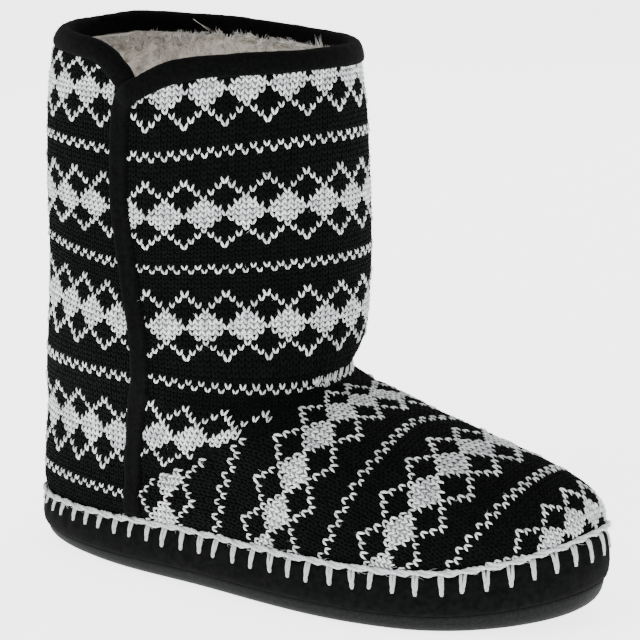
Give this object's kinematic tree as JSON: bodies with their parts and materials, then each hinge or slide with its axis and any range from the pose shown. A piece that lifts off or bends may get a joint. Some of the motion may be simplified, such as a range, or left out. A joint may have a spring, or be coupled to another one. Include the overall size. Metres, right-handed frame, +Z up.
{
  "type": "knit bootie slipper",
  "caption": "Right-foot ankle-high slipper boot: knitted upper with a taped, lapped outer seam, fleece lining, covered platform and rubber outsole.",
  "frame": {"origin": "middle of the footprint, on the floor", "axes": "+X towards the toe, +Y towards the inner side of the right foot, +Z up"},
  "size_m": [0.262, 0.1146, 0.227],
  "materials": {
    "rubber": "matt, fine grain",
    "suede": "matt microsuede",
    "fleece": "long soft pile",
    "knit": "plain stocking stitch with a light pattern yarn",
    "tape": "matt microsuede tape"
  },
  "bodies": {
    "root": {"outsole": "rubber", "platform": "suede", "insole": "fleece", "upper": "knit", "binding": "tape"}
  },
  "joints": []
}
